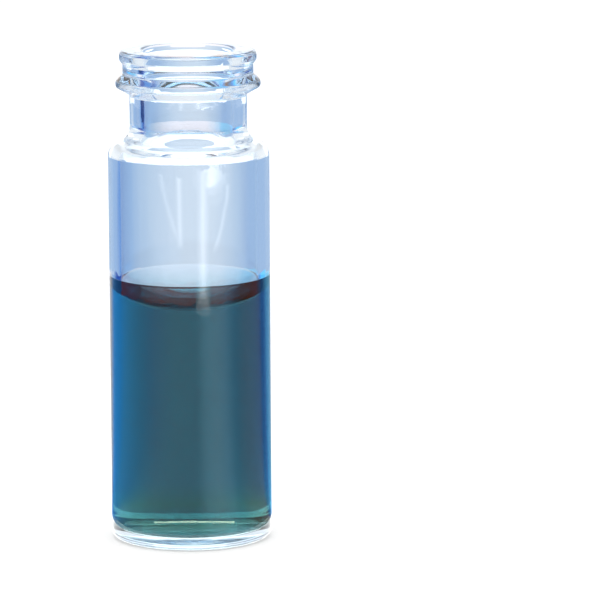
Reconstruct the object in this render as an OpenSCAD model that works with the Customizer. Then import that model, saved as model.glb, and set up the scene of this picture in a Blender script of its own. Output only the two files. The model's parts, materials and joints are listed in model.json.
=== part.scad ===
// Snap-ring sample vial, nominal 15 x 45 mm and 4 mL, holding a liquid sample.
// The vial is one piece: a length of glass tube whose base, shoulder, neck and finish are
// formed in the flame, so it is one revolved section. The liquid rests in it and takes
// its shape from the same inner wall.

/* [Body] */
// Outer diameter of the tube
body_d = 14.7; // [14:0.1:17]
// Height from the table to the lip
height = 45; // [38:0.5:70]
// Wall of the tube
wall = 1.05; // [0.8:0.05:1.2]

/* [Base] */
// Glass under the liquid, at the edge of the floor
base_t = 1; // [0.9:0.05:1.6]
// Rounding of the heel, where the wall turns into the base
heel_r = 0.7; // [0.4:0.1:1.2]
// Rounding of the floor into the wall, inside
floor_r = 0.4; // [0.3:0.1:1.6]
// Rise of the pushed-up middle, under the base and on the floor alike
push_up = 0.2; // [0.1:0.05:0.6]
// Width of the flat ring that the vial stands on
foot_w = 1.1; // [0.6:0.1:2]

/* [Shoulder and neck] */
// Outer diameter of the neck
neck_d = 10.7; // [10.2:0.05:11.2]
// Neck, from the top of the shoulder to the underside of the snap ring
neck_h = 3.8; // [3:0.05:6]
// Bore through the neck and lip
bore_d = 8.1; // [7:0.1:8.4]
// Slope of the shoulder below the horizontal, in degrees
shoulder_slope = 25; // [15:1:35]
// Glass in the shoulder
shoulder_wall = 1; // [0.8:0.05:1.3]
// Rounding of the body into the shoulder, outside
shoulder_r = 1.3; // [0.8:0.1:1.8]
// Fillet from the shoulder into the neck, outside
neck_fillet = 1.5; // [0.8:0.05:1.8]
// Rounding of the cavity into the shoulder, inside
shoulder_in_r = 0.6; // [0.4:0.1:1.4]
// Rounding of the shoulder into the bore, inside
throat_r = 1.7; // [0.8:0.1:2.2]

/* [Snap-ring finish] */
// Diameter of the crown, the upper flange that carries the seal
crown_d = 12.5; // [12.2:0.05:12.7]
// Height of the crown's edge
crown_h = 0.9; // [0.7:0.05:1.3]
// Height of the slope from the crown into the groove
crown_slope_h = 0.4; // [0.2:0.05:0.6]
// Diameter at the bottom of the groove
groove_d = 11.9; // [11.6:0.05:12]
// Straight height of the groove
groove_h = 0.85; // [0.5:0.05:1.1]
// Diameter of the snap ring that the cap grips
ring_d = 13.2; // [13:0.05:13.4]
// Height of the slope from the groove out to the snap ring
ring_lead_h = 0.6; // [0.4:0.05:0.9]
// Straight height of the snap ring
ring_h = 0.6; // [0.45:0.05:1]
// Height of the slope under the snap ring, where the cap catches
ring_catch_h = 0.7; // [0.5:0.05:1]
// Rounding of the lip, outside
lip_r = 0.35; // [0.2:0.05:0.5]
// Rounding of the lip into the bore
lip_bore_r = 0.55; // [0.3:0.05:0.7]
// Rounding of the edges and hollows of the finish
finish_r = 0.3; // [0.15:0.05:0.35]

/* [Sample] */
// Depth of the liquid, from the edge of the floor to the middle of its surface
fill_h = 20.5; // [8:0.5:25]
// Rise of the liquid where it climbs the wall
meniscus_h = 2.75; // [1:0.05:3]
// Angle at which the liquid meets the wall, in degrees
contact_angle = 25; // [15:1:38]

/* [Hidden] */

glass_colour = [0.86, 0.92, 0.97, 0.45];
liquid_colour = [0.05, 0.33, 0.45, 1];

// Fineness of the round faces
$fa = 2;
$fs = 0.15;

body_r = body_d / 2;
neck_r = neck_d / 2;
bore_r = bore_d / 2;
crown_r = crown_d / 2;
groove_r = groove_d / 2;
ring_r = ring_d / 2;
cavity_r = body_r - wall;

// Heights of the finish, from the lip down to the top of the shoulder
z_crown = height - crown_h;
z_groove_top = z_crown - crown_slope_h;
z_groove = z_groove_top - groove_h;
z_ring_top = z_groove - ring_lead_h;
z_ring = z_ring_top - ring_h;
z_neck = z_ring - ring_catch_h;
z_shoulder = z_neck - neck_h;

// Height of the shoulder's slope at a radius, outside and inside
function shoulder_z(r) = z_shoulder - (r - neck_r) * tan(shoulder_slope);
function shoulder_in_z(r) = shoulder_z(r) - shoulder_wall / cos(shoulder_slope);

// The push-up is a spherical dome that starts inside the foot
dome_r = body_r - heel_r - foot_w;
dome_sphere_r = (dome_r * dome_r + push_up * push_up) / (2 * push_up);

// Outlines run from the axis outwards and up. Each corner is [radius, height, rounding].
outer_outline = [
    [0, 0, 0],
    [body_r, 0, heel_r],
    [body_r, shoulder_z(body_r), shoulder_r],
    [neck_r, z_shoulder, neck_fillet],
    [neck_r, z_neck, finish_r],
    [ring_r, z_ring, finish_r],
    [ring_r, z_ring_top, finish_r],
    [groove_r, z_groove, finish_r],
    [groove_r, z_groove_top, finish_r],
    [crown_r, z_crown, finish_r],
    [crown_r, height, lip_r],
    [0, height, 0]
];

// The cavity ends above the lip, so that it cuts the mouth open
above_lip = 1;
cavity_outline = [
    [0, base_t, 0],
    [cavity_r, base_t, floor_r],
    [cavity_r, shoulder_in_z(cavity_r), shoulder_in_r],
    [bore_r, shoulder_in_z(bore_r), throat_r],
    [bore_r, height, lip_bore_r],
    [body_r, height, 0],
    [body_r, height + above_lip, 0],
    [0, height + above_lip, 0]
];

// The surface is flat in the middle and rises to the wall on an arc
z_surface = base_t + fill_h;
z_contact = z_surface + meniscus_h;
meniscus_r = meniscus_h / (1 - sin(contact_angle));
flat_r = cavity_r - meniscus_r * cos(contact_angle);

// Point of a corner, and the unit vector from one corner to another
function point(corner) = [corner[0], corner[1]];
function toward(a, b) = (point(b) - point(a)) / norm(point(b) - point(a));

// Turn of the outline at corner i: positive where it bulges, negative in a hollow
function turn(outline, i) = cross(toward(outline[i - 1], outline[i]), toward(outline[i], outline[i + 1]));

// A corner's arc: where it starts and ends along the two edges, and its centre
function half_angle(outline, i) =
    acos(toward(outline[i], outline[i - 1]) * toward(outline[i], outline[i + 1])) / 2;
function setback(outline, i) = outline[i][2] / tan(half_angle(outline, i));
function arc_start(outline, i) = point(outline[i]) + toward(outline[i], outline[i - 1]) * setback(outline, i);
function arc_end(outline, i) = point(outline[i]) + toward(outline[i], outline[i + 1]) * setback(outline, i);
function arc_centre(outline, i) =
    let (middle = toward(outline[i], outline[i - 1]) + toward(outline[i], outline[i + 1]))
    point(outline[i]) + middle / norm(middle) * outline[i][2] / sin(half_angle(outline, i));

// Corners of an outline that are rounded and that bulge (1) or are hollow (-1)
function round_corners(outline, way) =
    [for (i = [1 : len(outline) - 2]) if (outline[i][2] > 0 && way * turn(outline, i) > 0) i];

// Outline with every rounded corner cut straight across
function blunted(outline) = [
    for (i = [0 : len(outline) - 1])
        for (p = outline[i][2] > 0 ? [arc_start(outline, i), arc_end(outline, i)] : [point(outline[i])]) p
];

// Blunted outline, filled to the arc at its bulging corners and hollowed to it at the others
module rounded(outline) {
    difference() {
        union() {
            polygon(blunted(outline));
            for (i = round_corners(outline, 1))
                translate(arc_centre(outline, i)) circle(outline[i][2]);
        }
        for (i = round_corners(outline, -1))
            translate(arc_centre(outline, i)) circle(outline[i][2]);
    }
}

// Section of the dome under the base, or on the floor when it is lifted by the base
module dome_section(lift) {
    translate([0, lift + push_up - dome_sphere_r])
        circle(dome_sphere_r);
}

// Section of the space inside the vial
module cavity_section() {
    difference() {
        rounded(cavity_outline);
        dome_section(base_t);
    }
}

// Right half of the plane, up to a height
module below(z) {
    square([body_d, z]);
}

// Section of the air above the liquid
module air_section() {
    translate([0, z_surface])
        square([flat_r, height]);
    translate([flat_r, z_surface + meniscus_r])
        circle(meniscus_r);
}

module vial() {
    color(glass_colour)
        rotate_extrude()
            difference() {
                rounded(outer_outline);
                dome_section(0);
                cavity_section();
            }
}

module liquid_sample() {
    color(liquid_colour)
        rotate_extrude()
            difference() {
                intersection() {
                    cavity_section();
                    below(z_contact);
                }
                air_section();
            }
}

vial();
liquid_sample();
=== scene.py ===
# %% [markdown]
# A glass sample vial with a coloured liquid in it
#
# The vial is a small laboratory bottle, made from a length of borosilicate glass tube. A
# machine turns the tube in a flame and forms the base, the shoulder, the neck and the
# ringed mouth that a 13 mm cap snaps over. The liquid in it is a clear, strongly coloured
# solution. Both are solids of revolution, so in Blender each can be made by turning one
# outline round an axis. The looks then come from two glass-like materials, and from what
# there is to see through and in them, because clear glass has next to no look of its own.

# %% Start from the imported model
import bpy
import json
import math
from mathutils import Matrix, Vector


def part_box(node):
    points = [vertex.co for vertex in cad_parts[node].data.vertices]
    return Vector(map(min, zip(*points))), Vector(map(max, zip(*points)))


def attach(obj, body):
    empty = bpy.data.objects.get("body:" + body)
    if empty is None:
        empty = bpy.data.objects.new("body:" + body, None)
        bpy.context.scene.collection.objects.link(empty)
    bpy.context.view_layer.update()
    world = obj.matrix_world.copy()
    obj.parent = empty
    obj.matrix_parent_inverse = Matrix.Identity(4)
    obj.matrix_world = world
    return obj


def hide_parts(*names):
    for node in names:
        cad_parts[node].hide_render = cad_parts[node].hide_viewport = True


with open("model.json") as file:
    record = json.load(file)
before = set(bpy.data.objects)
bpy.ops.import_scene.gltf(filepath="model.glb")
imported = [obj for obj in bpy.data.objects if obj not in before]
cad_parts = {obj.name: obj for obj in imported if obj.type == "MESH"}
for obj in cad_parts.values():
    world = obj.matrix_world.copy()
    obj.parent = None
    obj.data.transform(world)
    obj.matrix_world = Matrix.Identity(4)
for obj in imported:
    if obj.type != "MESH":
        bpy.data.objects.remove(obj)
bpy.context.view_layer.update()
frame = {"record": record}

# %% [markdown]
# Sizes
#
# The frame already knows the main sizes, so they are read from it and not typed again. The
# rest are the sizes that the glass blower's drawing would give for this kind of vial. All
# lengths are in metres, and MM turns the drawing's millimetres into metres.

# %% Sizes of the glass and of the liquid
MM = 0.001
mounts = {mount["name"]: mount for mount in frame["record"]["mounts"]}

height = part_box("vial")[1][2]
body_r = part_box("vial")[1][0]
bore_r = mounts["neck_bore"]["dims"]["r_mm"] * MM
ring_r = mounts["snap_ring"]["dims"]["r_mm"] * MM
cavity_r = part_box("liquid_sample")[1][0]
base_t = 1.0 * MM
z_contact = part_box("liquid_sample")[1][2]

heel_r = 0.7 * MM
floor_r = 0.4 * MM
push_up = 0.2 * MM
foot_w = 1.1 * MM

neck_r = 10.7 / 2 * MM
neck_h = 3.8 * MM
shoulder_slope = math.radians(25)
shoulder_wall = 1.0 * MM
shoulder_r = 1.3 * MM
neck_fillet = 1.5 * MM
shoulder_in_r = 0.6 * MM
throat_r = 1.7 * MM

crown_r = 12.5 / 2 * MM
crown_h = 0.9 * MM
crown_slope_h = 0.4 * MM
groove_r = 11.9 / 2 * MM
groove_h = 0.85 * MM
ring_lead_h = 0.6 * MM
ring_h = 0.6 * MM
ring_catch_h = 0.7 * MM
lip_r = 0.35 * MM
lip_bore_r = 0.55 * MM
finish_r = 0.3 * MM

meniscus_h = 2.75 * MM
contact_angle = math.radians(25)

print(f"vial {height / MM:.1f} mm tall, {2 * body_r / MM:.1f} mm across, bore {2 * bore_r / MM:.1f} mm")

# %% [markdown]
# Turning an outline into glass
#
# A lathe shape could be made with the Screw modifier or with Spin. Here a short function
# places the rings of points itself, so that the poles close in one point each and the mesh
# is watertight, which refraction needs: a ray has to know when it is inside the glass. An
# outline is a list of corners, each with the radius that rounds it, and the arcs are worked
# out from those. The rounded edges are what catches the light on real flame-worked glass.

# %% Helpers that round and turn an outline
AROUND = 256  # faces round the axis, enough for smooth refraction
ARC_STEP = math.radians(7.5)  # turn of an arc between two points of its outline
ON_AXIS = 1e-7  # metres, a point nearer to the axis than this is a pole


def round_corner(before, corner, after, radius):
    """Points of the arc that rounds a corner between its two neighbours."""
    towards_before = (before - corner).normalized()
    towards_after = (after - corner).normalized()
    half = towards_before.angle(towards_after) / 2
    start = corner + towards_before * (radius / math.tan(half))
    centre = corner + (towards_before + towards_after).normalized() * (radius / math.sin(half))
    sweep = (start - centre).angle_signed(corner + towards_after * (radius / math.tan(half)) - centre)
    steps = max(2, round(abs(sweep) / ARC_STEP))
    arm = start - centre
    points = []
    for i in range(steps + 1):
        turn = -sweep * i / steps
        cos, sin = math.cos(turn), math.sin(turn)
        points.append(centre + Vector((arm.x * cos - arm.y * sin, arm.x * sin + arm.y * cos)))
    return points


def rounded(corners):
    """Outline of (radius, height, rounding) corners, with each rounding as an arc."""
    places = [Vector((x, z)) for x, z, _ in corners]
    outline = []
    for i, (place, corner) in enumerate(zip(places, corners)):
        if corner[2]:
            outline += round_corner(places[i - 1], place, places[i + 1], corner[2])
        else:
            outline.append(place)
    return outline


def dome(rim_r, rise, z, steps=12):
    """Arc from the axis to rim_r that is rise higher at the axis than at its rim, at z."""
    sphere_r = (rim_r ** 2 + rise ** 2) / (2 * rise)
    radii = [rim_r * i / steps for i in range(steps)]
    return [Vector((r, z + rise - sphere_r + math.sqrt(sphere_r ** 2 - r ** 2))) for r in radii]


def turned(name, outline):
    """Closed mesh object from an outline that starts and ends on the axis."""
    vertices = []
    rings = []
    for point in outline:
        around = AROUND if point.x > ON_AXIS else 1
        rings.append(range(len(vertices), len(vertices) + around))
        for i in range(around):
            angle = 2 * math.pi * i / AROUND
            vertices.append((point.x * math.cos(angle), point.x * math.sin(angle), point.y))
    faces = []
    for low, high in zip(rings, rings[1:]):
        for i in range(AROUND):
            j = (i + 1) % AROUND
            corners = [low[i % len(low)], low[j % len(low)], high[j % len(high)], high[i % len(high)]]
            faces.append(list(dict.fromkeys(corners)))
    mesh = bpy.data.meshes.new(name)
    mesh.from_pydata(vertices, [], faces)
    mesh.validate()
    mesh.shade_smooth()
    piece = bpy.data.objects.new(name, mesh)
    bpy.context.collection.objects.link(piece)
    evened = piece.modifiers.new("even_shading", "WEIGHTED_NORMAL")
    evened.keep_sharp = True
    print(name, "has", len(vertices), "points and", len(faces), "faces")
    return piece


print("a turned piece has", AROUND, "faces round its axis")

# %% [markdown]
# The vial
#
# On the real vial everything is one piece of glass: the pushed-up base with the ring that
# it stands on, the heel, the straight body, the rounded shoulder, the neck, the snap ring,
# the groove and the crown. So it is one outline too, which runs up the outside, over the
# lip and down the inside. The heights are counted down from the lip, as a cap needs them.

# %% Outline of the glass
z_crown = height - crown_h
z_groove_top = z_crown - crown_slope_h
z_groove = z_groove_top - groove_h
z_ring_top = z_groove - ring_lead_h
z_ring = z_ring_top - ring_h
z_neck = z_ring - ring_catch_h
z_shoulder = z_neck - neck_h


def shoulder_z(r):
    """Height of the shoulder's outside at a radius."""
    return z_shoulder - (r - neck_r) * math.tan(shoulder_slope)


def shoulder_in_z(r):
    """Height of the shoulder's inside at a radius."""
    return shoulder_z(r) - shoulder_wall / math.cos(shoulder_slope)


dome_r = body_r - heel_r - foot_w
floor_flat_r = cavity_r - floor_r
floor_dome_r = floor_flat_r * 0.98  # the dome on the floor ends just inside the rounding
outside = dome(dome_r, push_up, 0) + rounded([
    (dome_r, 0, 0),
    (body_r, 0, heel_r),
    (body_r, shoulder_z(body_r), shoulder_r),
    (neck_r, z_shoulder, neck_fillet),
    (neck_r, z_neck, finish_r),
    (ring_r, z_ring, finish_r),
    (ring_r, z_ring_top, finish_r),
    (groove_r, z_groove, finish_r),
    (groove_r, z_groove_top, finish_r),
    (crown_r, z_crown, finish_r),
    (crown_r, height, lip_r),
    (bore_r, height, lip_bore_r),
    (bore_r, shoulder_in_z(bore_r), throat_r),
    (cavity_r, shoulder_in_z(cavity_r), shoulder_in_r),
    (cavity_r, base_t, floor_r),
    (floor_dome_r, base_t, 0),
])
floor_dome = list(reversed(dome(floor_dome_r, push_up, base_t)))
vial = turned("vial_glass", outside + floor_dome)
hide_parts("vial")
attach(vial, "root")

# %% [markdown]
# The liquid
#
# A liquid wets glass, so its surface climbs the wall in a curved edge, the meniscus. The
# surface is flat in the middle and rises on an arc that meets the wall at the contact
# angle. No air may show between liquid and glass: an air gap would mirror the light and
# make the liquid look narrower. So the mesh reaches a little way into the wall. A ray then
# goes from glass to liquid, as it does in the real vial.

# %% Outline of the liquid
overlap = 0.03 * MM
liquid_r = cavity_r + overlap
z_surface = z_contact - meniscus_h
meniscus_r = meniscus_h / (1 - math.sin(contact_angle))
flat_r = cavity_r - meniscus_r * math.cos(contact_angle)
rise_steps = 24


def surface_point(i):
    """Point i of the liquid's surface, from the wall at 0 to the flat middle."""
    climb = (math.pi / 2 - contact_angle) * (1 - i / rise_steps)
    return Vector((flat_r + meniscus_r * math.sin(climb), z_surface + meniscus_r * (1 - math.cos(climb))))


liquid_outline = dome(floor_dome_r, push_up, base_t - overlap) + rounded([
    (floor_dome_r, base_t - overlap, 0),
    (liquid_r, base_t - overlap, floor_r),
    (liquid_r, z_contact, 0),
]) + [surface_point(i) for i in range(rise_steps + 1)] + [Vector((0, z_surface))]
liquid = turned("sample_liquid", liquid_outline)
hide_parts("liquid_sample")
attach(liquid, "root")

# %% [markdown]
# Colour and nodes
#
# Colours are written as sRGB hex values, as a picker gives them. Blender works with linear
# light, so one function turns them into linear values. Another adds a node with its
# settings and its links, so that each material reads as a short list from top to bottom.
# The same could be clicked together in the Shader Editor, one node for each line.

# %% Colour and node helpers


def linear(hex_colour):
    """Linear RGBA of an sRGB hex colour."""
    parts = [int(hex_colour[i:i + 2], 16) / 255 for i in (1, 3, 5)]
    return (*[c / 12.92 if c <= 0.04045 else ((c + 0.055) / 1.055) ** 2.4 for c in parts], 1)


def add(tree, kind, settings=None, **sockets):
    """Adds a node. settings are its own properties, and sockets take a value or a link."""
    node = tree.nodes.new(kind)
    for name, value in (settings or {}).items():
        setattr(node, name, value)
    for name, value in sockets.items():
        socket = node.inputs[int(name[1:])] if name[1:].isdigit() else node.inputs[name.replace("_", " ")]
        if isinstance(value, bpy.types.NodeSocket):
            tree.links.new(value, socket)
        else:
            socket.default_value = value
    return node


def blank_tree(owner):
    """Node tree of a material or world, emptied."""
    owner.use_nodes = True
    owner.node_tree.nodes.clear()
    return owner.node_tree


def set_stops(ramp, stops):
    """Gives a Color Ramp node its (position, hex colour) stops."""
    marks = ramp.color_ramp.elements
    for i, (position, tone) in enumerate(stops):
        mark = marks[i] if i < 2 else marks.new(position)
        mark.position = position
        mark.color = linear(tone)


print("sRGB mid grey is", round(linear("#808080")[0], 3), "in linear light")

# %% [markdown]
# The glass
#
# The vial is borosilicate glass, drawn into a tube and then shaped and fire polished in a
# flame. Drawing leaves long, faint waves along the tube, and the flame leaves shorter ones
# round the shoulder and the neck. They are only some hundredths of a millimetre high, so
# nobody sees them as such, but they make reflections waver, which is how the eye tells
# blown glass from a perfect cylinder. They could be modelled, but a bump from two noise
# textures does it without a heavy mesh. Clear glass takes its tone from its depth, so the
# faint blue is mostly a Volume Absorption, which is stronger where the glass is thicker.

# %% Borosilicate tubing glass, drawn and fire polished
WAVE_WIDTH = 3 * MM  # a drawn wave, across the tube
WAVE_LENGTH = 18 * MM  # a drawn wave, along the tube
FLAME_WAVE = 1.6 * MM  # a wave where the flame softened the glass
WAVE_HEIGHT = 0.03 * MM
FLAMED_REACH = 7 * MM  # how far down from the shoulder the flame's waves go

glass = bpy.data.materials.new("borosilicate_glass_fire_polished")
tree = blank_tree(glass)
place = add(tree, "ShaderNodeTexCoord")
parts = add(tree, "ShaderNodeSeparateXYZ", Vector=place.outputs["Object"])
tube = add(tree, "ShaderNodeMapping", Vector=place.outputs["Object"],
           Scale=(1 / WAVE_WIDTH, 1 / WAVE_WIDTH, 1 / WAVE_LENGTH))
drawn = add(tree, "ShaderNodeTexNoise", Vector=tube.outputs[0], Scale=1.0)
flamed = add(tree, "ShaderNodeTexNoise", Vector=place.outputs["Object"], Scale=1 / FLAME_WAVE)
heated = add(tree, "ShaderNodeMapRange", Value=parts.outputs["Z"], From_Min=z_shoulder - FLAMED_REACH,
             From_Max=z_shoulder, To_Max=0.35)
waves = add(tree, "ShaderNodeMath", {"operation": "MULTIPLY_ADD"}, _0=flamed.outputs[0],
            _1=heated.outputs[0], _2=drawn.outputs[0])
bump = add(tree, "ShaderNodeBump", Height=waves.outputs[0], Distance=WAVE_HEIGHT)
shader = add(tree, "ShaderNodeBsdfPrincipled", Base_Color=linear("#F0F6FB"), Roughness=0.0, IOR=1.47,
             Transmission_Weight=1.0, Normal=bump.outputs[0])
depth = add(tree, "ShaderNodeVolumeAbsorption", Color=linear("#00A7DE"), Density=15.0)
add(tree, "ShaderNodeOutputMaterial", Surface=shader.outputs["BSDF"], Volume=depth.outputs["Volume"])
vial.data.materials.append(glass)
print(glass.name, "with", len(tree.nodes), "nodes")

# %% [markdown]
# The liquid
#
# The sample is a dye solution in water: perfectly smooth, clear, and deep in colour. Red is
# swallowed within a few millimetres, so the thick middle is a dark blue-green and the thin
# edges are bright. That is again a Volume Absorption, with a high density. A painted colour
# could not do it, as it would be the same in the middle and at the edges. Low down, where
# light also comes in through the base, the liquid looks a little greener. That light is
# painted: a ramp over the height gives the surface a faint green tint near the floor.

# %% Blue-green dye dissolved in water
PAINTED_LIGHT_REACH = 4 * MM  # how far up from the floor the greener tint reaches

solution = bpy.data.materials.new("dye_solution_in_water")
tree = blank_tree(solution)
place = add(tree, "ShaderNodeTexCoord")
parts = add(tree, "ShaderNodeSeparateXYZ", Vector=place.outputs["Object"])
level = add(tree, "ShaderNodeMapRange", Value=parts.outputs["Z"], From_Min=base_t,
            From_Max=base_t + PAINTED_LIGHT_REACH)
# painted light: the surface colour turns greener near the floor, for light that comes in through the base
tint = add(tree, "ShaderNodeValToRGB", Fac=level.outputs["Result"])
set_stops(tint, [(0.1, "#E7F7F3"), (0.3, "#EFF6CB"), (0.8, "#E7F7FF")])
shader = add(tree, "ShaderNodeBsdfPrincipled", Base_Color=tint.outputs["Color"], Roughness=0.0, IOR=1.333,
             Transmission_Weight=1.0)
depth = add(tree, "ShaderNodeVolumeAbsorption", Color=linear("#00B3B9"), Density=300.0)
add(tree, "ShaderNodeOutputMaterial", Surface=shader.outputs["BSDF"], Volume=depth.outputs["Volume"])
liquid.data.materials.append(solution)
print(solution.name, "with", len(tree.nodes), "nodes")

# %% [markdown]
# A white room
#
# The vial stands on matt white paper in a white room. Light Path tells the camera, the
# mirrored and the refracted rays from the rest, and only those see pure white, so the
# background is white without any more light on the glass. The paper keeps a soft shadow,
# because its white is partly lit and only partly a glow.

# %% Room and floor
FLOOR_SIZE = 4.0
FLOOR_GAP = 0.05 * MM  # keeps the paper just clear of the foot
PAPER_GLOW = 0.4  # the part of the paper's white that isn't lit


def direct_view(tree):
    """Socket that is 1 for what the camera sees, straight or in glass, and 0 for other rays."""
    rays = add(tree, "ShaderNodeLightPath")
    seen = add(tree, "ShaderNodeMath", {"operation": "ADD"}, _0=rays.outputs["Is Camera Ray"],
               _1=rays.outputs["Is Glossy Ray"])
    seen = add(tree, "ShaderNodeMath", {"operation": "ADD", "use_clamp": True}, _0=seen.outputs[0],
               _1=rays.outputs["Is Transmission Ray"])
    return seen.outputs[0]


world = bpy.data.worlds.new("studio")
bpy.context.scene.world = world
tree = blank_tree(world)
dim_room = add(tree, "ShaderNodeBackground", Color=linear("#E1E1E1"), Strength=1.0)
white_room = add(tree, "ShaderNodeBackground", Color=linear("#FFFFFF"), Strength=1.0)
room = add(tree, "ShaderNodeMixShader", _0=direct_view(tree), _1=dim_room.outputs[0], _2=white_room.outputs[0])
add(tree, "ShaderNodeOutputWorld", Surface=room.outputs[0])

bpy.ops.mesh.primitive_circle_add(vertices=64, radius=FLOOR_SIZE / 2, fill_type="NGON",
                                  location=(0, 0, -FLOOR_GAP))
floor = bpy.context.object
floor.name = "floor"
paper = bpy.data.materials.new("white_paper_matt")
tree = blank_tree(paper)
glow = add(tree, "ShaderNodeMath", {"operation": "MULTIPLY"}, _0=direct_view(tree), _1=PAPER_GLOW)
matt = add(tree, "ShaderNodeBsdfPrincipled", Base_Color=linear("#E7E7E7"), Roughness=0.9,
           Emission_Color=linear("#FFFFFF"), Emission_Strength=glow.outputs[0], Specular_IOR_Level=0.0)
add(tree, "ShaderNodeOutputMaterial", Surface=matt.outputs[0])
floor.data.materials.append(paper)
print("floor is", FLOOR_SIZE, "m across, and", FLOOR_GAP / MM, "mm under the foot")

# %% [markdown]
# What the glass sees
#
# Clear glass in a plain white room is almost invisible, so a photographer puts coloured and
# dark paper round it, just outside the picture. The glass bends and mirrors the paper, and
# that is what draws its edges. Here the paper can lie close by, because Ray Visibility keeps
# it from the camera. The pieces are flat meshes that glow and throw no shadow. Some are
# seen by mirrored rays alone and some by refracted rays alone, which no real studio can do.

# %% Helpers that lay out paper and lights
RING_STEP = 5  # degrees between two edges of a round sheet of paper


def even_light(name, tone, strength):
    """Material that shines with one even tone."""
    finish = bpy.data.materials.new(name)
    tree = blank_tree(finish)
    shine = add(tree, "ShaderNodeEmission", Color=linear(tone), Strength=strength)
    add(tree, "ShaderNodeOutputMaterial", Surface=shine.outputs[0])
    return finish


def staged(name, points, faces, finish, mirrored=True, refracted=True, lights=False):
    """Studio piece that only the glass and the liquid see. Points are in millimetres."""
    mesh = bpy.data.meshes.new(name)
    mesh.from_pydata([Vector(point) * MM for point in points], [], faces)
    mesh.materials.append(finish)
    piece = bpy.data.objects.new(name, mesh)
    bpy.context.collection.objects.link(piece)
    piece.visible_camera = False
    piece.visible_shadow = False
    piece.visible_diffuse = lights
    piece.visible_glossy = mirrored
    piece.visible_transmission = refracted
    return piece


def ribbon(name, edges, finish, lift, **seen):
    """Paper on the floor along (near, far, bearing) edges, in millimetres and degrees."""
    points = []
    for near, far, bearing in edges:
        turn = math.radians(bearing)
        points += [(r * math.sin(turn), r * math.cos(turn), lift) for r in (near, far)]
    faces = [(2 * i, 2 * i + 1, 2 * i + 3, 2 * i + 2) for i in range(len(edges) - 1)]
    return staged(name, points, faces, finish, **seen)


def ring(name, near, far, finish, lift, start=0, end=360, **seen):
    """Paper between two distances from the vial, all round it or from one bearing to another."""
    steps = round((end - start) / RING_STEP)
    edges = [(near, far, start + (end - start) * i / steps) for i in range(steps + 1)]
    return ribbon(name, edges, finish, lift, **seen)


print("a full ring of paper has", 360 // RING_STEP, "faces")

# %% [markdown]
# The sweep
#
# The paper round the vial changes its tone with the bearing: pale behind, blue to the left
# and the right, and dim in front. A straight view through the glass sees the pale part, and
# the curved edges see the blue part, so the vial gets blue rims and a pale middle. One ramp
# over the angle does it, from the arc tangent of the two flat coordinates. Bearings are in
# degrees to the right from straight behind the vial, and 180 is in front. The camera looks
# down, so a view through the low liquid meets the paper near the vial, and a view through
# the empty glass above it meets the paper further off.

# %% Paper shaded by bearing
PAPER_SHINE = 1.5
NEAR_SWEEP = (12, 150)  # millimetres from the axis, behind the liquid
FAR_SWEEP = (150, 600)  # behind the empty glass
SWEEP_LIFT = -0.02  # millimetres, just over the floor
WARM_SHINE = 2.2

plum = "#81656F"
umber = "#7F5F49"
russet = "#8F4434"
copper = "#CE6C50"
slate = "#6B7486"
navy = "#274190"
cobalt = "#5381BD"
azure = "#4190DE"
sky = "#5CBCF7"
aqua = "#85BCD7"
mist = "#8DA4C1"
cloud = "#AAB8C8"
pearl = "#C1C8D0"
snow = "#D5D5DA"
blush = "#E7DEE0"


def shaded_paper(name, stops, strength=PAPER_SHINE):
    """Paper whose tone changes with the bearing, given as (bearing, hex colour) stops."""
    finish = bpy.data.materials.new(name)
    tree = blank_tree(finish)
    spot = add(tree, "ShaderNodeTexCoord")
    parts = add(tree, "ShaderNodeSeparateXYZ", Vector=spot.outputs["Object"])
    bearing = add(tree, "ShaderNodeMath", {"operation": "ARCTAN2"}, _0=parts.outputs["X"],
                  _1=parts.outputs["Y"])
    along = add(tree, "ShaderNodeMapRange", Value=bearing.outputs[0], From_Min=-math.pi, From_Max=math.pi)
    ramp = add(tree, "ShaderNodeValToRGB", Fac=along.outputs["Result"])
    set_stops(ramp, [(0.5 + degrees / 360, tone) for degrees, tone in stops])
    shine = add(tree, "ShaderNodeEmission", Color=ramp.outputs["Color"], Strength=strength)
    add(tree, "ShaderNodeOutputMaterial", Surface=shine.outputs[0])
    return finish


near_refracted = shaded_paper("paper_near_refracted", [
    (-180, plum), (180, plum), (-130, plum), (-105, slate), (-75, cobalt), (-60, cobalt), (-50, navy),
    (-39, navy), (-27, mist), (-15, cloud), (-4, blush), (3, blush), (12, aqua), (24, aqua), (32, sky),
    (40, sky), (50, cobalt), (62, slate), (76, umber), (95, umber), (108, slate), (122, cloud),
    (140, pearl), (154, cloud), (170, plum)])
near_mirrored = shaded_paper("paper_near_mirrored", [
    (-180, plum), (180, plum), (-130, plum), (-105, slate), (-80, cobalt), (-64, azure), (-42, azure),
    (-30, pearl), (-20, snow), (2, pearl), (12, cloud), (24, aqua), (42, sky), (50, cobalt), (57, navy),
    (66, umber), (95, umber), (110, slate), (126, mist), (140, cloud), (154, cloud), (170, plum)])
far_paper = shaded_paper("paper_far", [
    (-180, snow), (180, snow), (-150, snow), (-130, pearl), (-100, cloud), (-80, mist), (-70, navy),
    (-60, navy), (-52, cobalt), (-42, mist), (-15, mist), (-7, cloud), (-2, pearl), (2, pearl),
    (6, cloud), (14, mist), (52, mist), (72, cloud), (100, pearl), (125, snow)])
warm_paper = shaded_paper("paper_warm", [
    (-180, copper), (180, copper), (-140, copper), (-105, russet), (105, russet), (140, copper)], WARM_SHINE)

ring("sweep_near_refracted", *NEAR_SWEEP, near_refracted, SWEEP_LIFT, mirrored=False)
ring("sweep_near_mirrored", *NEAR_SWEEP, near_mirrored, SWEEP_LIFT, refracted=False)
ring("sweep_far", *FAR_SWEEP, far_paper, SWEEP_LIFT)
print("sweep from", NEAR_SWEEP[0], "to", FAR_SWEEP[1], "mm off the axis")

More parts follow.
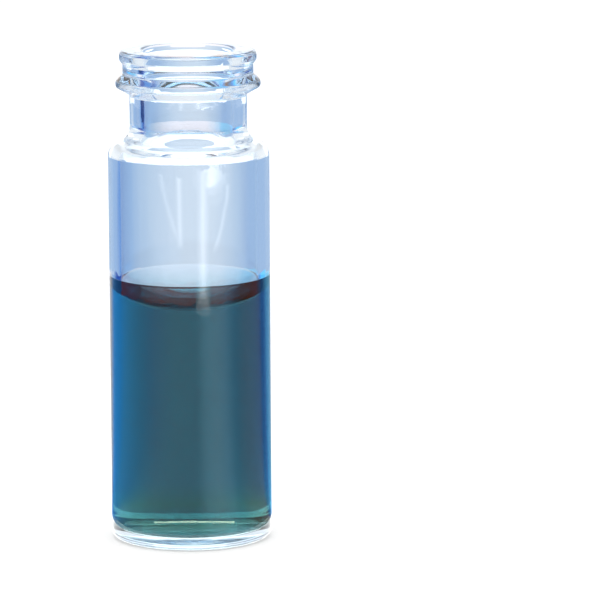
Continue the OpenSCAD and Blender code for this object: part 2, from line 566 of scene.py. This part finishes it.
# %% [markdown]
# Cards and lights
#
# Two softboxes give the soft light: one behind the vial makes the lip, the rings and the
# shoulder shine, and one above fills the rest. A warm card lies where the meniscus mirrors
# it, and gives the dark edge of the liquid its brown tone. A dark flag to the left draws
# the line down the side of the neck. In front lie narrow strips, as of window light, which
# the wall mirrors as long soft streaks. A strip is made of nested layers, each narrower and
# brighter than the one below, which gives it soft edges without any texture. A bright disc
# lies under the base, and a thin bow of light stands close in front of it, for the bright
# line low down in the liquid.

# %% Softboxes, cards and strips
STRIP_LAYERS = 5
STRIP_LIFT = -0.016  # millimetres, the height of a strip's lowest layer
LAYER_GAP = 0.001

BACK_BOX_Y = 300  # millimetres behind the axis
BACK_BOX_HALF = 95
BACK_BOX_LOW = 8
BACK_BOX_HIGH = 125
TOP_BOX_Z = 250
TOP_BOX_HALF = 130

WARM_CARD = (138, 153)  # from and to, in millimetres from the axis
WARM_BEARINGS = (68, 292)
DARK_FLAG = (262, 600)
DARK_BEARINGS = (-61, -50)


def strip(name, strength, width, places, fade=0):
    """Soft-edged light on the floor along (distance, bearing) places, that the wall mirrors."""
    for i in range(STRIP_LAYERS):
        share = 1 - i / STRIP_LAYERS
        glow = 1 + strength * ((i + 1) / STRIP_LAYERS) ** 1.5
        near, start = places[0]
        corners = []
        for r, bearing in [(near - fade * share, start), *places[1:]]:
            for side in (-0.5, 0.5):
                turn = math.radians(bearing + side * share * width)
                corners.append((r * math.sin(turn), r * math.cos(turn), STRIP_LIFT + LAYER_GAP * i))
        faces = [(2 * k, 2 * k + 1, 2 * k + 3, 2 * k + 2) for k in range(len(places) - 1)]
        staged(f"{name}_{i}", corners, faces, even_light(f"{name}_{i}", "#FFFFFF", glow), refracted=False)


back_box = [(-BACK_BOX_HALF, BACK_BOX_Y, BACK_BOX_LOW), (BACK_BOX_HALF, BACK_BOX_Y, BACK_BOX_LOW),
            (BACK_BOX_HALF, BACK_BOX_Y, BACK_BOX_HIGH), (-BACK_BOX_HALF, BACK_BOX_Y, BACK_BOX_HIGH)]
top_box = [(-TOP_BOX_HALF, -TOP_BOX_HALF, TOP_BOX_Z), (TOP_BOX_HALF, -TOP_BOX_HALF, TOP_BOX_Z),
           (TOP_BOX_HALF, TOP_BOX_HALF, TOP_BOX_Z), (-TOP_BOX_HALF, TOP_BOX_HALF, TOP_BOX_Z)]
staged("softbox_back", back_box, [(0, 1, 2, 3)], even_light("softbox_back", "#FFFFFF", 1.6), lights=True)
staged("softbox_top", top_box, [(0, 1, 2, 3)], even_light("softbox_top", "#FFFFFF", 2.1), lights=True)
ring("light_under", 0.01, NEAR_SWEEP[0], even_light("light_under", "#FFFFFF", 2.3), -0.03)
ring("card_warm", *WARM_CARD, warm_paper, -0.018, *WARM_BEARINGS, refracted=False)
ribbon("flag_dark", [(*DARK_FLAG, bearing) for bearing in DARK_BEARINGS],
       even_light("flag_dark", "#00317C", 1.0), -0.015, mirrored=False)

strip("window_main", 5.0, 21, [(146, 160), (240, 159)], fade=14)
strip("window_left", 3.6, 12, [(184, -168), (240, -167)], fade=6)
strip("window_slant_right", 3.0, 11, [(178, 142), (229, 121)], fade=4)
strip("window_slant_left", 2.0, 11, [(188, -167), (214, -150), (240, -141)], fade=4)
strip("window_head", 9.0, 54, [(234, 147), (245, 147)])

bow = [(19.2 - 1.8 * ((turn - 5) / 50) ** 2, 176 + turn) for turn in range(-48, 49, 8)]
edges_of_line = (0.075, 0.245)  # it stands on edge, so that it stays thin from above as well
points = []
for r, bearing in bow:
    turn = math.radians(bearing)
    points += [(r * math.sin(turn), r * math.cos(turn), z) for z in edges_of_line]
faces = [(2 * i, 2 * i + 1, 2 * i + 3, 2 * i + 2) for i in range(len(bow) - 1)]
staged("line_of_light", points, faces, even_light("line_of_light", "#EBFFDA", 12.0), refracted=False)
print("line of light is", round(min(bow)[0], 1), "to", round(max(bow)[0], 1), "mm from the axis")

# %% [markdown]
# Camera
#
# A long lens from far away keeps the vial's sides parallel, as product pictures do. The
# camera stands a little above the lip and looks down at about ten degrees, so that the
# mouth, the snap ring and the liquid's surface show as narrow ellipses. It is turned by a
# hair round its own line of sight, because a hand-levelled camera is never quite level.

# %% Camera that looks slightly down
LENS = 301  # millimetres, on a sensor 36 mm wide
camera_at = Vector((10.06, -452, 100.5)) * MM
down = math.radians(9.87)
roll = math.radians(-0.3)

camera_data = bpy.data.cameras.new("camera")
camera_data.sensor_width = 36
camera_data.lens = LENS
camera_data.clip_start = 0.01
camera_data.clip_end = 10
camera = bpy.data.objects.new("camera", camera_data)
camera.location = camera_at
tilt = Matrix.Rotation(math.pi / 2 - down, 3, "X") @ Matrix.Rotation(roll, 3, "Z")
camera.rotation_euler = tilt.to_euler()
bpy.context.collection.objects.link(camera)
bpy.context.scene.camera = camera
print("camera", round(camera_at.length, 3), "m from the vial's foot")

# %% [markdown]
# Last settings
#
# A ray that runs through the ring or the base is mirrored inside the glass many times. With
# Blender's usual limit of four mirrorings it would stop there and leave black patches, so
# the limits go up to 24. Standard view keeps colours as they are written.

# %% Settings for the render
BOUNCES = 24
scene = bpy.context.scene
scene.view_settings.view_transform = "Standard"
scene.cycles.max_bounces = BOUNCES
scene.cycles.transmission_bounces = BOUNCES
scene.cycles.glossy_bounces = BOUNCES
